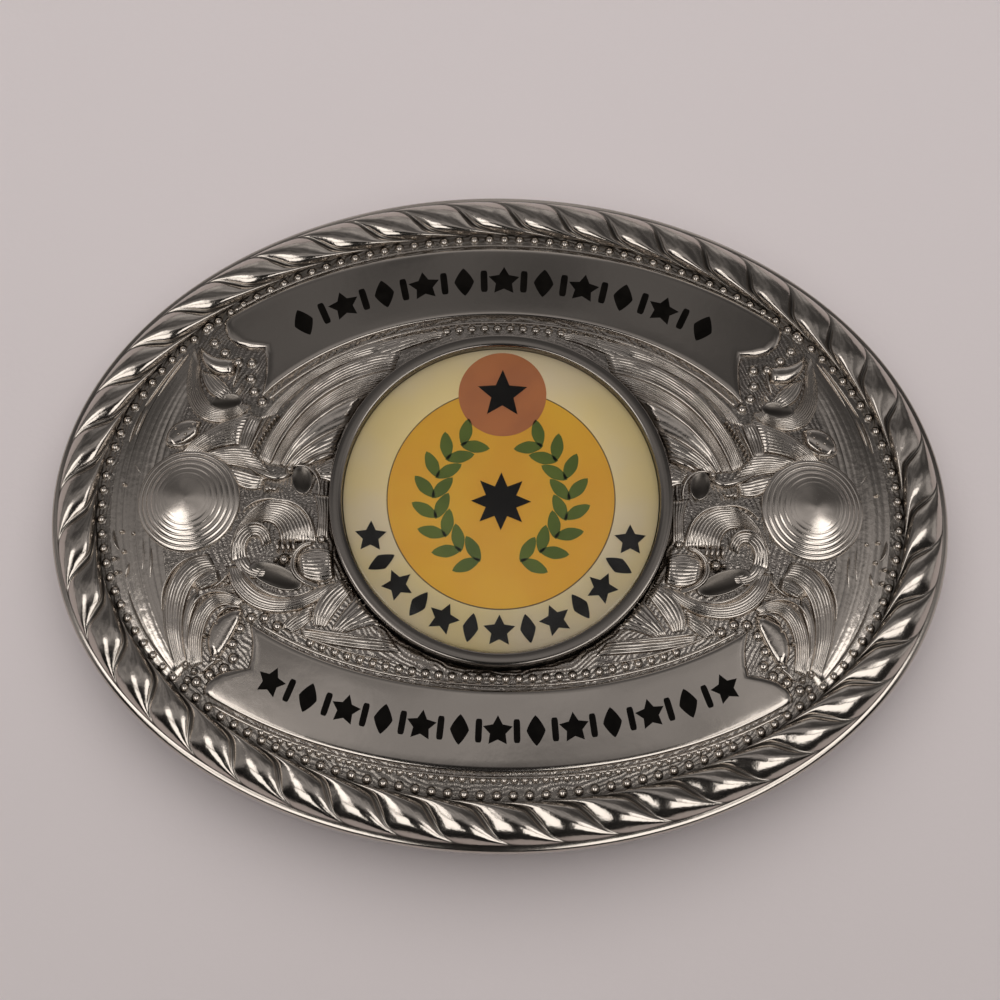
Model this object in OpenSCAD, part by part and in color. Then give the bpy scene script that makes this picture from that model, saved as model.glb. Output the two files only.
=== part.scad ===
// Western trophy buckle: an arched oval plate with a twisted rope edge, two
// ribbons, two ridged rosettes and leafy scrolls around a round insert.
// Millimetres. X is the length, Y the height, Z the way the face looks.
// The buckle lies face up, on the bar of its wire loop and on its hook.

/* [Plate] */
// length of the oval
plate_length = 101.6; // [80:0.1:120]
// height of the oval
plate_height = 76.2; // [60:0.1:90]
// thickness of the sheet under the relief
plate_thick = 2.4; // [1.5:0.1:4]
// how far the left and right ends fall behind the middle
end_drop = 5.7; // [0:0.1:12]
// how far the upper and lower edges fall behind the middle
side_drop = 3.6; // [0:0.1:8]
// bevel round the outer edge
edge_bevel = 0.5; // [0.2:0.1:1]

/* [Rope edge] */
// number of strands round the rim
strand_count = 46; // [24:2:72]
// width of the smooth lip outside the rope
lip_width = 0.7; // [0.3:0.1:2]
// width of the rope
rope_width = 4.6; // [3:0.1:7]
// height of the rope over the plate
rope_rise = 1.5; // [0.6:0.1:3]
// depth of the grooves between strands
strand_groove = 0.8; // [0.2:0.1:1.5]
// length along the rim that a strand takes to cross the rope
strand_slant = 5.4; // [2:0.1:10]
// length along the rim from the right end to the first groove
strand_start = 1.65; // [0:0.05:5]

/* [Beads] */
// distance of the bead row from the outer edge
bead_inset = 5.95; // [5:0.05:8]
// number of beads in the row
bead_count = 140; // [80:2:180]
// diameter of a bead
bead_size = 1.0; // [0.6:0.05:1.5]
// height of a bead over the plate
bead_rise = 0.6; // [0.2:0.05:1]

/* [Ribbons] */
// height of the ribbons over the plate
ribbon_rise = 0.7; // [0.3:0.1:1.5]
// half length and height of the oval line along the top of the upper ribbon
upper_outer = [45.5, 30.8]; // [20:0.1:50]
// the same for the line along its bottom
upper_inner = [32.5, 22.0]; // [15:0.1:45]
// the line along the bottom of the lower ribbon
lower_outer = [46.3, 29.8]; // [20:0.1:50]
// the line along its top
lower_inner = [36.2, 21.1]; // [15:0.1:45]
// distance of the notch of a swallow tail from the middle
notch_reach = 27.2; // [20:0.1:32]
// distance of the tip of a swallow tail from the middle
tip_reach = 32.1; // [24:0.1:36]
// place of the notch across the ribbon, from its inner line
notch_share = 0.48; // [0.3:0.01:0.7]

/* [Rosettes] */
// distance of a rosette from the middle
rosette_offset = 34.8; // [28:0.1:38]
// radius of a rosette
rosette_radius = 5.9; // [4:0.1:8]
// height of a rosette over the plate
rosette_rise = 2.0; // [1:0.1:4]
// number of raised rings on a rosette
rosette_rings = 3; // [2:1:6]
// step of a ring over the dome
ring_step = 0.28; // [0.1:0.02:0.6]

/* [Insert] */
// outer radius of the polished cup
cup_radius = 18.85; // [15:0.05:22]
// thickness of its wall
cup_wall = 1.4; // [0.6:0.1:2.5]
// rounding of its rim
cup_round = 0.4; // [0.1:0.05:0.6]
// height of its rim over the middle of the plate
cup_rise = 1.8; // [0.8:0.1:3]
// thickness of its floor
cup_floor = 1.0; // [0.4:0.1:1.5]
// depth of the round recess under the middle of the plate
recess_depth = 1.5; // [0.8:0.1:2]
// depth of the print under the rim of the cup
print_drop = 0.9; // [0.3:0.1:1.5]
// height of the clear dome over the rim of the cup
dome_rise = 0.9; // [0.3:0.1:2]

/* [Back] */
// width of belt that the loop takes
belt_width = 38.5; // [25:0.5:45]
// free height between the bar and the plate, at the belt's edges
belt_gap = 5.0; // [4.2:0.1:8]
// diameter of the loop wire
loop_wire = 3.0; // [2:0.1:4]
// distance of the loop's bar from the middle, to the viewer's right
loop_reach = 33.0; // [24:0.5:40]
// distance of the loop's feet from the middle
loop_foot = 22.0; // [15:0.5:30]
// diameter of the hook
hook_wire = 4.0; // [3:0.1:6]
// distance of the hook's post from the middle, to the viewer's left
hook_reach = 33.0; // [24:0.5:40]
// length of the straight part of the hook's bent tip
hook_tip = 5.0; // [2:0.5:9]

/* [Gaps] */
// gap left between separate pieces
gap = 0.12; // [0.05:0.01:0.3]

/* [Hidden] */

nickel = [0.72, 0.72, 0.74];
steel = [0.66, 0.66, 0.68];
cream = [0.93, 0.9, 0.8];
clear = [0.9, 0.95, 1, 0.35];

a = plate_length / 2;
b = plate_height / 2;
loop_half = (belt_width + loop_wire) / 2;
// depth the plate falls at a point, and height of its face over the ground
function fall(x, y) = end_drop * pow(x / a, 2) + side_drop * pow(y / b, 2);
top = loop_wire + belt_gap + plate_thick + fall(loop_reach, belt_width / 2);
function face_z(x, y) = top - fall(x, y);
function back_z(x, y) = face_z(x, y) - plate_thick;
function on_face(p, h) = [p[0], p[1], face_z(p[0], p[1]) + h];

function oval(inset, turn) = [(a - inset) * cos(turn), (b - inset) * sin(turn)];
function mix(p, q, s) = p * (1 - s) + q * s;

// Turn of the oval for a length along the rope, so that strands are even.
rope_middle = lip_width + rope_width / 2;
rim_table = [
    for (i = 0, s = 0; i <= 360;
         s = s + norm(oval(rope_middle, i + 1) - oval(rope_middle, i)), i = i + 1)
        [s, i]
];
rim_length = rim_table[360][0];
function rim_turn(s) =
    s < 0 ? lookup(s + rim_length, rim_table) - 360 :
    s > rim_length ? lookup(s - rim_length, rim_table) + 360 :
    lookup(s, rim_table);

// Faces of a closed ring of n cross-sections with m points each.
function ring_faces(n, m) = [
    for (i = [0:n - 1]) for (j = [0:m - 1])
        let (p = i * m, q = (i + 1) % n * m, k = (j + 1) % m)
            each [[p + j, q + k, q + j], [p + j, p + k, q + k]]
];

// Faces of a slab: n rows of m points on top, then the same underneath.
function slab_faces(n, m) = let (o = n * m) [
    for (i = [0:n - 2]) for (j = [0:m - 2])
        let (p = i * m + j, q = p + m)
            each [[p, p + 1, q + 1], [p, q + 1, q],
                  [o + p, o + q + 1, o + p + 1], [o + p, o + q, o + q + 1]],
    for (i = [0:n - 2])
        let (p = i * m, q = p + m, e = m - 1)
            each [[p, q, o + q], [p, o + q, o + p],
                  [p + e, o + q + e, q + e], [p + e, o + p + e, o + q + e]],
    for (j = [0:m - 2])
        let (q = (n - 1) * m + j)
            each [[j, o + j, o + j + 1], [j, o + j + 1, j + 1],
                  [q, q + 1, o + q + 1], [q, o + q + 1, o + q]]
];

// The plain arched sheet: ovals from the middle of the face out over the
// bevelled edge and back in. Columns: scale of the oval, inset, height.
sheet_turns = 76;
sheet_scales = [0.3, 0.55, 0.78];
sheet_rows = [
    for (k = sheet_scales) [k, 0, 0],
    [1, edge_bevel, 0],
    [1, 0, -edge_bevel],
    [1, 0, edge_bevel / 2 - plate_thick],
    [1, edge_bevel / 2, -plate_thick],
    for (i = [len(sheet_scales) - 1:-1:0]) [sheet_scales[i], 0, -plate_thick]
];
module sheet() {
    n = len(sheet_rows);
    m = sheet_turns;
    points = [
        for (row = sheet_rows) for (i = [0:m - 1])
            on_face(oval(row[1], i * 360 / m) * row[0], row[2]),
        [0, 0, top],
        [0, 0, top - plate_thick]
    ];
    faces = [
        for (r = [0:n - 2]) for (i = [0:m - 1])
            let (k = (i + 1) % m, p = r * m, q = p + m)
                each [[p + i, p + k, q + k], [p + i, q + k, q + i]],
        for (i = [0:m - 1])
            let (k = (i + 1) % m, p = (n - 1) * m)
                each [[n * m, k, i], [n * m + 1, p + i, p + k]]
    ];
    polyhedron(points, faces, convexity = 6);
}

// Half a turn of twisted strands. Each cut across the rope has a point at
// these turns round the rope, and every third cut lies in a groove.
strand_cuts = 3;
rope_turns = [0, 38, 82, 126, 180];
rope_root = 0.3;
module rope_edge() {
    n = strand_count * strand_cuts;
    points = [
        for (i = [0:n - 1]) let (s = i * rim_length / n)
            each [
                for (w = rope_turns)
                    let (inset = lip_width + rope_width * (1 - cos(w)) / 2,
                         turn = rim_turn(s + strand_start - strand_slant * (w / 180 - 0.5)),
                         rise = rope_rise - (i % strand_cuts == 0 ? strand_groove : 0))
                        on_face(oval(inset, turn), w % 180 == 0 ? -rope_root : rise * pow(sin(w), 0.8)),
                on_face(oval(rope_middle, rim_turn(s)), -rope_root * 2)
            ]
    ];
    polyhedron(points, ring_faces(n, len(rope_turns) + 1), convexity = 12);
}

// A row of pointed studs just inside the rope.
bead_root = 0.2;
module bead_row() {
    for (i = [0:bead_count - 1])
        translate(on_face(oval(bead_inset, rim_turn(i * rim_length / bead_count)), -bead_root))
            hull() cylinder(d1 = bead_size * 1.25, d2 = 0, h = bead_rise + bead_root, $fn = 5);
}

// Swallow-tailed ribbon between two oval lines; side is 1 above, -1 below.
// Cuts lie along the ribbon, shares across it from the inner line.
ribbon_cuts = [-1, -0.95, -0.87, for (k = [-5:5]) k * 0.152, 0.87, 0.95, 1];
ribbon_shares = [0, notch_share / 2, notch_share, 0.7, 1];
tail_curve = 1.8;
function line_y(line, x) = line[1] * sqrt(max(0, 1 - pow(x / line[0], 2)));
function end_reach(share) = share < notch_share ? notch_reach :
    mix(notch_reach, tip_reach, 1 - pow((1 - share) / (1 - notch_share), tail_curve));
module ribbon(side, inner, outer) {
    n = len(ribbon_cuts);
    m = len(ribbon_shares);
    flat = [
        for (u = ribbon_cuts) for (j = [0:m - 1])
            let (share = ribbon_shares[side > 0 ? j : m - 1 - j], x = u * end_reach(share))
                [x, side * mix(line_y(inner, x), line_y(outer, x), share)]
    ];
    points = [for (h = [ribbon_rise, -rope_root]) for (p = flat) on_face(p, h)];
    polyhedron(points, slab_faces(n, m), convexity = 6);
}

// Ridged dome, tipped to stand square on the arched sheet.
rosette_rim = 0.25;
ring_outer = 0.94;
ring_inner = 0.14;
module rosette(side) {
    tip = atan(2 * end_drop * rosette_offset / (a * a));
    steps = rosette_rings * 2;
    profile = [
        [0, -rosette_rim * 4],
        [rosette_radius, -rosette_rim * 4],
        [rosette_radius, rosette_rim],
        for (k = [0:steps - 1])
            let (share = mix(ring_outer, ring_inner, k / (steps - 1)),
                 dome = (rosette_rise - ring_step) * sqrt(1 - share * share))
                [rosette_radius * share, dome + (k % 2 == 0 ? ring_step : 0)],
        [0, rosette_rise]
    ];
    translate([side * rosette_offset, 0, face_z(rosette_offset, 0)])
        rotate([0, side * tip, 0])
            rotate_extrude($fn = 26) polygon(profile);
}

// Scroll leaves on the right half, mirrored to the left. Each is a bent
// blade: an arc about a centre, whose radius and turn run from a first to a
// last value, pointed at both ends. Upper half first, then the lower half.
//   x, y: centre, r1, r2: radii, t1, t2: turns, w: width, h: height
leaves = [
    [11.3, -1.5, 17.3, 17.3, 73, 21, 2.6, 0.9],
    [14.5, 0.8, 11.5, 11.5, 76, 16, 2.3, 0.8],
    [17.1, 0.1, 8.4, 8.4, 80, 28, 2.3, 0.7],
    [17.4, -3.1, 9.0, 9.0, 78, 48, 1.6, 0.6],
    [25.2, 7.6, 5.2, 5.2, -32, -108, 1.2, 0.8],
    [30.8, 2.1, 6.2, 6.2, 104, 36, 2.8, 0.8],
    [31.6, 14.3, 4.0, 4.2, 50, -128, 3.2, 0.9],
    [31.0, 21.5, 5.0, 5.0, -42, -98, 1.8, 0.6],
    [14.0, -1.0, 28.4, 27.9, 40, 3, 2.8, 0.5],
    [25.9, -4.6, 4.1, 4.0, 186, -10, 2.1, 0.9],
    [27.2, -5.2, 1.9, 1.7, 195, -25, 1.5, 0.8],
    [24.0, -6.4, 5.5, 6.0, -4, -148, 2.6, 1.0],
    [19.8, -7.5, 1.9, 1.9, 75, -105, 2.4, 0.7],
    [29.5, -13.5, 7.3, 7.3, 67, -47, 3.0, 1.0],
    [28.4, -15.6, 4.0, 5.3, 90, -33, 2.2, 0.9],
    [28.2, -16.6, 3.1, 3.1, 74, -24, 1.8, 0.6],
    [20.0, -2.5, 21.6, 22.4, -2, -47, 2.4, 0.5],
    [16.4, -14.2, 3.9, 3.9, 88, 0, 1.4, 0.6]
];
leaf_steps = 5;
leaf_ends = 0.04;
leaf_rim = 0.12;
leaf_root = 0.4;
ridge_share = 0.65;
module leaf(row, side) {
    points = [
        for (low = [false, true]) for (i = [0:leaf_steps])
            for (share = side > 0 ? [0, ridge_share, 1] : [1, ridge_share, 0])
            let (s = mix(leaf_ends, 1 - leaf_ends, i / leaf_steps),
                 swell = sin(180 * s),
                 r = mix(row[2], row[3], s) + row[6] * (share - 0.5) * swell,
                 turn = mix(row[4], row[5], s),
                 p = [side * (row[0] + r * cos(turn)), row[1] + r * sin(turn)],
                 ridge = share == ridge_share ? row[7] * (0.4 + 0.6 * swell) : leaf_rim)
                on_face(p, low ? -leaf_root : ridge)
    ];
    polyhedron(points, slab_faces(leaf_steps + 1, 3), convexity = 4);
}

// One casting: the sheet with its relief, less the recess for the insert.
recess_floor = top - recess_depth;
module buckle_plate() {
    color(nickel) difference() {
        union() {
            sheet();
            rope_edge();
            bead_row();
            ribbon(1, upper_inner, upper_outer);
            ribbon(-1, lower_inner, lower_outer);
            for (side = [-1, 1]) rosette(side);
            for (side = [-1, 1]) for (row = leaves) leaf(row, side);
        }
        translate([0, 0, recess_floor])
            cylinder(r = cup_radius + gap, h = recess_depth * 2, $fn = 72);
    }
}

cup_bottom = recess_floor + gap;
cup_top = top + cup_rise;
cup_inside = cup_radius - cup_wall;
module bezel_cup() {
    color(nickel) rotate_extrude($fn = 96) polygon([
        [0, cup_bottom],
        [cup_radius, cup_bottom],
        [cup_radius, cup_top - cup_round],
        [cup_radius - cup_round, cup_top],
        [cup_inside + cup_round, cup_top],
        [cup_inside, cup_top - cup_round],
        [cup_inside, cup_bottom + cup_floor],
        [0, cup_bottom + cup_floor]
    ]);
}

disc_radius = cup_inside - gap;
disc_bottom = cup_bottom + cup_floor + gap;
disc_top = cup_top - print_drop;
module printed_disc() {
    color(cream) translate([0, 0, disc_bottom])
        cylinder(r = disc_radius, h = disc_top - disc_bottom, $fn = 96);
}

// Clear cap over the print: a slice of a ball on a low straight wall.
dome_bottom = disc_top + gap / 2;
dome_wall = cup_top - gap - dome_bottom;
dome_height = dome_rise + gap;
dome_ball = (pow(disc_radius, 2) + pow(dome_height, 2)) / (2 * dome_height);
module resin_dome() {
    color(clear) translate([0, 0, dome_bottom]) intersection() {
        cylinder(r = disc_radius, h = dome_wall + dome_height * 2, $fn = 96);
        translate([0, 0, dome_wall + dome_height - dome_ball]) sphere(r = dome_ball, $fn = 360);
    }
}

// Wire loop for the belt: a bar, two arms and two feet behind the plate.
module rod(p, q, wire) {
    v = q - p;
    translate(p) rotate([0, acos(v[2] / norm(v)), atan2(v[1], v[0])])
        cylinder(d = wire, h = norm(v), $fn = 24);
}
bar_z = loop_wire / 2;
foot_top = back_z(loop_foot + loop_wire / 2, loop_half + loop_wire / 2) - gap;
module belt_loop() {
    color(steel) union() {
        rod([loop_reach, -loop_half, bar_z], [loop_reach, loop_half, bar_z], loop_wire);
        for (side = [-1, 1]) {
            corner = [loop_reach, side * loop_half, bar_z];
            foot = [loop_foot, side * loop_half, bar_z];
            rod(foot, corner, loop_wire);
            rod(foot, [foot[0], foot[1], foot_top], loop_wire);
            for (p = [corner, foot]) translate(p) sphere(d = loop_wire, $fn = 24);
        }
    }
}

// Hook for a hole in the belt: a post with its tip bent towards the loop.
hook_z = hook_wire / 2;
hook_top = back_z(hook_reach + hook_wire / 2, 0) - gap;
module belt_hook() {
    color(steel) translate([-hook_reach, 0, hook_z]) union() {
        cylinder(d = hook_wire, h = hook_top - hook_z, $fn = 32);
        rotate([0, 90, 0]) cylinder(d = hook_wire, h = hook_tip, $fn = 32);
        for (x = [0, hook_tip]) translate([x, 0, 0]) sphere(d = hook_wire, $fn = 32);
    }
}

buckle_plate();
bezel_cup();
printed_disc();
resin_dome();
belt_loop();
belt_hook();
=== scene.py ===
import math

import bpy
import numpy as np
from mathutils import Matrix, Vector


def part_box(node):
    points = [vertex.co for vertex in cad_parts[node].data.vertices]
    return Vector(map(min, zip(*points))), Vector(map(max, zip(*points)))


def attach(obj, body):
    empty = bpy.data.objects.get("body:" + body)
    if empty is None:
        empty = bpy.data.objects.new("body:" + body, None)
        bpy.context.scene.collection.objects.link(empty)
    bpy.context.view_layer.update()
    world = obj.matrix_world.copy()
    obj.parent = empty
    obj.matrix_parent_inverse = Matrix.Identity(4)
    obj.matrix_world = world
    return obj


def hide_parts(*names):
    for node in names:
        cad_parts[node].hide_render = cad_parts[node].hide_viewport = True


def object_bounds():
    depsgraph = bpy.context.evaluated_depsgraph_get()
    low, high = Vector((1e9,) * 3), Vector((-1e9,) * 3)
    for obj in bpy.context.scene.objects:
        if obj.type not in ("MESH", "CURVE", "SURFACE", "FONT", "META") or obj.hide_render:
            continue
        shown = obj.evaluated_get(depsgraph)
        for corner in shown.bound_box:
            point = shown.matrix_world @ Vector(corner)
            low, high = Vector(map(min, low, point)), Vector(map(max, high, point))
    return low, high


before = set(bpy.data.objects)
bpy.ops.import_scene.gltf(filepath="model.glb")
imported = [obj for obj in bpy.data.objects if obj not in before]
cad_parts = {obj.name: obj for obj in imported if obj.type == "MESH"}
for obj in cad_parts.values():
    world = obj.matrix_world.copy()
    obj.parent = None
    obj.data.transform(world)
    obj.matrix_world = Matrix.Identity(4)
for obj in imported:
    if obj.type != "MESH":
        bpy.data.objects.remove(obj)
cad_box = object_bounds()

# %% [markdown]
# # A western trophy buckle
# The real object is one zinc casting with a nickel skin: an arched oval with a
# twisted rope edge, a row of beads, two ribbons, two ridged rosettes and leafy
# scrolls. A polished cup in its middle holds a round print under clear resin.
# Behind it are a wire loop and a hook for the belt. Everything here is worked
# out in millimetres and turned into metres when a mesh is made.

MM = 0.001
low, high = (np.array(corner) / MM for corner in cad_box)
HALF = (high - low)[:2] / 2
CUP_RISE = 1.8
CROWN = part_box("bezel_cup")[1].z / MM - CUP_RISE
END_DROP, SIDE_DROP = 5.7, 3.6
PLATE_THICK = 2.4
print("half length and height", HALF.round(2), "crown at", round(CROWN, 3), "mm")

# %% [markdown]
# The sheet is pressed into a shallow dome. A parabola along each axis is close
# to the real arch, and lets every raised piece ask for the face's height under
# it. Raised pieces are laid on that face by adding their own height to it.

# %% The arch and the oval
def face(x, y):
    """Height of the face: the crown less a parabola along each axis."""
    return CROWN - END_DROP * (x / HALF[0]) ** 2 - SIDE_DROP * (y / HALF[1]) ** 2


def lay(x, y, rise):
    """Points of the plan x, y, raised over the face by rise."""
    x, y, rise = np.broadcast_arrays(x, y, rise)
    return np.stack([x, y, face(x, y) + rise], -1)


def round_turns(count):
    """Angles at even steps round a circle."""
    return np.linspace(0, 2 * np.pi, count, endpoint=False)


def oval(inset, turn):
    """Plan point of the rim's oval, shrunk by inset along both half axes."""
    return (HALF[0] - inset) * np.cos(turn), (HALF[1] - inset) * np.sin(turn)


LIP = 0.7
ROPE_WIDTH = 4.6
FINE = np.linspace(0, 2 * np.pi, 3601)
rim_x, rim_y = oval(LIP + ROPE_WIDTH / 2, FINE)
RIM = np.append(0, np.cumsum(np.hypot(np.diff(rim_x), np.diff(rim_y))))


def rim_turn(length):
    """Turn of the oval at a length along the rope, read from a summed table."""
    laps = np.floor(length / RIM[-1])
    return np.interp(length - laps * RIM[-1], RIM, FINE) + laps * 2 * np.pi


print("length of the rope", RIM[-1].round(1), "mm")

# %% [markdown]
# Every piece is a grid of points: rows along a path, and points round each
# row. A shell closes each row on itself and caps both ends, and a ring joins
# its last row to its first instead. Shells are put together, mirrored for the
# left half, and made into one mesh for each piece. A closed shape with a negative
# volume is inside out, so its faces are turned round.

# %% Grids into closed shells
def shell(points, hollow=0.0, ring=False):
    """Closed shell from rows of points: quads between rows, capped if no ring."""
    rows, cols = points.shape[:2]
    index = np.arange(rows * cols).reshape(rows, cols)
    below = index if ring else index[:-1]
    above = np.roll(index, -1, 0) if ring else index[1:]
    quads = np.stack([below, np.roll(below, -1, 1), np.roll(above, -1, 1), above], -1)
    quads = quads.reshape(-1, 4)
    verts = points.reshape(-1, 3)
    hollow = np.broadcast_to(hollow, (rows, cols)).reshape(-1)
    tris = np.zeros((0, 3), int)
    if not ring:
        first, last = len(verts), len(verts) + 1
        verts = np.vstack([verts, points[0].mean(0), points[-1].mean(0)])
        hollow = np.append(hollow, [hollow[0], hollow[-1]])
        start, end = index[0], index[-1]
        tris = np.vstack([
            np.stack([np.full(cols, first), np.roll(start, -1), start], -1),
            np.stack([np.full(cols, last), end, np.roll(end, -1)], -1)])
    corners = verts[np.vstack([tris, quads[:, :3], quads[:, [0, 2, 3]]])] - verts.mean(0)
    volume = np.einsum("ij,ij->i", corners[:, 0], np.cross(corners[:, 1], corners[:, 2])).sum()
    if volume < 0:
        quads, tris = quads[:, ::-1], tris[:, ::-1]
    return verts, quads, tris, hollow


def joined(shells):
    """One set of points and faces from many shells."""
    counts = np.cumsum([0] + [len(s[0]) for s in shells])
    return (np.vstack([s[0] for s in shells]),
            np.vstack([s[1] + n for s, n in zip(shells, counts)]),
            np.vstack([s[2] + n for s, n in zip(shells, counts)]),
            np.concatenate([s[3] for s in shells]))


def both_halves(shells):
    """The shells and their mirror images, whose faces are turned the other way."""
    flip = np.array([-1, 1, 1])
    return shells + [(v * flip, q[:, ::-1], t[:, ::-1], h) for v, q, t, h in shells]


def piece(name, shells, material, stands_for=None, smooth=True):
    """Mesh object of the joined shells, in metres, riding on the root body."""
    verts, quads, tris, hollow = joined(shells)
    mesh = bpy.data.meshes.new(name)
    mesh.vertices.add(len(verts))
    mesh.vertices.foreach_set("co", (verts * MM).astype(np.float32).ravel())
    mesh.loops.add(quads.size + tris.size)
    mesh.loops.foreach_set("vertex_index", np.append(quads.ravel(), tris.ravel()))
    sizes = np.append(np.full(len(quads), 4), np.full(len(tris), 3))
    mesh.polygons.add(len(sizes))
    mesh.polygons.foreach_set("loop_start", np.append(0, np.cumsum(sizes)[:-1]))
    mesh.update(calc_edges=True)
    mesh.validate()
    # The hollow attribute carries each point's share of painted shade.
    mesh.attributes.new("hollow", "FLOAT", "POINT").data.foreach_set("value", hollow.astype(np.float32))
    mesh.polygons.foreach_set("use_smooth", np.full(len(sizes), smooth))
    mesh.materials.append(material)
    thing = bpy.data.objects.new(name, mesh)
    bpy.context.scene.collection.objects.link(thing)
    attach(thing, "root")
    if stands_for:
        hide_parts(stands_for)
    print(f"{name}: {len(quads) * 2 + len(tris)} triangles, {len(shells)} shells")
    return thing


# %% [markdown]
# Materials are sums and products of numbers that change over a surface. A
# small class lets them be written as plain expressions: each operator adds a
# Math node behind the scenes. Colours go through a Mix node, because a Math
# node would turn them grey.

# %% Shader expressions
class Value:
    """A socket that can be added, subtracted and multiplied like a number."""

    def __init__(self, tree, socket):
        self.tree, self.socket = tree, socket

    def _math(self, operation, *others):
        return self.tree.node("ShaderNodeMath", {"operation": operation}, *others)

    def __add__(self, other):
        return self._math("ADD", self, other)

    def __radd__(self, other):
        return self._math("ADD", other, self)

    def __sub__(self, other):
        return self._math("SUBTRACT", self, other)

    def __rsub__(self, other):
        return self._math("SUBTRACT", other, self)

    def __mul__(self, other):
        return self._math("MULTIPLY", self, other)

    def __rmul__(self, other):
        return self._math("MULTIPLY", other, self)

    def step(self, start, end):
        """0 before start, 1 after end, smooth between."""
        return self.tree.node("ShaderNodeMapRange", {"interpolation_type": "SMOOTHSTEP"},
                              self, start, end, 0.0, 1.0)


class Nodes:
    """A node tree that starts empty, and the one method that adds to it."""

    def __init__(self, tree):
        self.nodes, self.links = tree.nodes, tree.links
        self.nodes.clear()

    def node(self, kind, settings, *inputs, output=0, named=None):
        """Adds a node, sets its settings, then fills or links its inputs."""
        node = self.nodes.new(kind)
        for key, value in settings.items():
            setattr(node, key, value)
        pairs = list(enumerate(inputs)) + list((named or {}).items())
        for key, value in pairs:
            if isinstance(value, Value):
                self.links.new(value.socket, node.inputs[key])
            elif value is not None:
                node.inputs[key].default_value = value
        return Value(self, node.outputs[output]) if node.outputs else None


class Finish(Nodes):
    """A material in Object coordinates, with helpers for what metal and ink need."""

    def __init__(self, name):
        self.material = bpy.data.materials.new(name)
        self.material.use_nodes = True
        super().__init__(self.material.node_tree)
        self.place = self.node("ShaderNodeTexCoord", {}, output="Object")

    def noise(self, size, detail=3.0):
        """Cloudy noise whose lumps are about size millimetres across."""
        return self.node("ShaderNodeTexNoise", {"noise_dimensions": "3D"},
                         named={"Vector": self.place, "Scale": 1 / (size * MM), "Detail": detail})

    def hollow(self):
        """Share of painted shade at a point, mostly by how deep it lies in a groove; its mesh says."""
        return self.node("ShaderNodeAttribute", {"attribute_name": "hollow"}, output="Fac")

    def blend(self, share, first, second):
        """Colour between two, by a share that may change over the surface."""
        return self.node("ShaderNodeMix", {"data_type": "RGBA"}, output=2,
                         named={0: share, 6: first, 7: second})

    def bump(self, height, depth, before=None):
        """Turns a height of so many millimetres into a normal."""
        return self.node("ShaderNodeBump", {}, output="Normal",
                         named={"Height": height, "Distance": depth * MM, "Normal": before})

    def surface(self, **sockets):
        """The Principled shader, with its sockets named in words."""
        named = {key.replace("_", " ").title().replace("Ior", "IOR"): value
                 for key, value in sockets.items()}
        return self.shown(self.node("ShaderNodeBsdfPrincipled", {}, named=named))

    def shown(self, shader):
        """Makes a shader the material's surface."""
        self.node("ShaderNodeOutputMaterial", {}, named={"Surface": shader})
        return self.material


def grey(level, warm=0.0):
    """A near neutral colour, a little warmer where warm is above 0."""
    return (level * (1 + warm), level, level * (1 - warm), 1)


print("a warm grey:", grey(0.5, 0.1))

# %% [markdown]
# Cast nickel is bright on top and dull in its grooves, where polish never
# reaches. The meshes carry how hollow each point is, so the same finish
# roughens there, and its colour darkens there as painted shade. Fine lumps
# bend the reflections, and the ground between the scrolls also has a grain and
# a fine engraved hatch.

# %% Nickel finishes
CLOUD, SPECK, GRAIN = 7.0, 0.35, 0.22
HATCH_PITCH, HATCH_WAVER = 0.5067, 14.0


def hatched(finish):
    """Wavering rings round the middle; a wave's bands are pi/10 apart at scale 1."""
    return finish.node("ShaderNodeTexWave", {"wave_type": "RINGS", "rings_direction": "Z"},
                       named={"Vector": finish.place, "Scale": math.pi / 10 / (HATCH_PITCH * MM),
                              "Distortion": HATCH_WAVER, "Detail": 1.0, "Detail Scale": 0.5})


def nickel(name, bright, dark, gloss, dull, ripple, ripple_size, grain=0.0, hatch=0.0):
    """Nickel between a bright, glossy top and a dull hollow darkened as painted shade."""
    finish = Finish(name)
    cloud = finish.noise(CLOUD, 4.0)
    speck = finish.noise(SPECK, 2.0)
    # Painted shade: this share darkens the colour of hollows, and it also dulls them.
    painted_shade = (finish.hollow() * (0.65 + cloud * 0.7)).step(0.25, 1.0)
    colour = finish.blend(painted_shade, grey(bright, 0.10), grey(dark, 0.12))
    roughness = gloss + cloud * 0.05 + speck * 0.04 + painted_shade * dull
    normal = finish.bump(finish.noise(ripple_size, 3.0), ripple)
    if grain:
        normal = finish.bump(finish.noise(GRAIN, 1.0), grain, normal)
    if hatch:
        normal = finish.bump(hatched(finish), hatch, normal)
    return finish.surface(base_color=colour, metallic=1.0, roughness=roughness, normal=normal)


# Columns: name, bright tone, dark tone of the painted shade, gloss, dullness, ripple's depth and size,
# grain, hatch.
cast_nickel = nickel("cast_nickel", 0.54, 0.06, 0.13, 0.30, 0.035, 0.8)
# The rosettes' finish is a brighter copy of the nickel: painted highlight.
rosette_nickel_painted_highlight = nickel("rosette_nickel_painted_highlight", 0.66, 0.12, 0.15, 0.20, 0.02, 2.0)
polished_nickel = nickel("polished_nickel", 0.46, 0.16, 0.10, 0.20, 0.02, 2.5)
stippled_nickel = nickel("stippled_nickel", 0.37, 0.06, 0.17, 0.22, 0.06, 0.7, 0.06, 0.05)
# The beads' finish is a brighter copy of the nickel: painted highlight.
bead_nickel_painted_highlight = nickel("bead_nickel_painted_highlight", 0.60, 0.08, 0.12, 0.20, 0.02, 0.5)
# The cup's finish is a darker copy of the polished nickel: painted dark reflection.
cup_nickel_painted_dark_reflection = nickel("cup_nickel_painted_dark_reflection", 0.27, 0.06, 0.12, 0.10, 0.01, 2.5)
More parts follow.
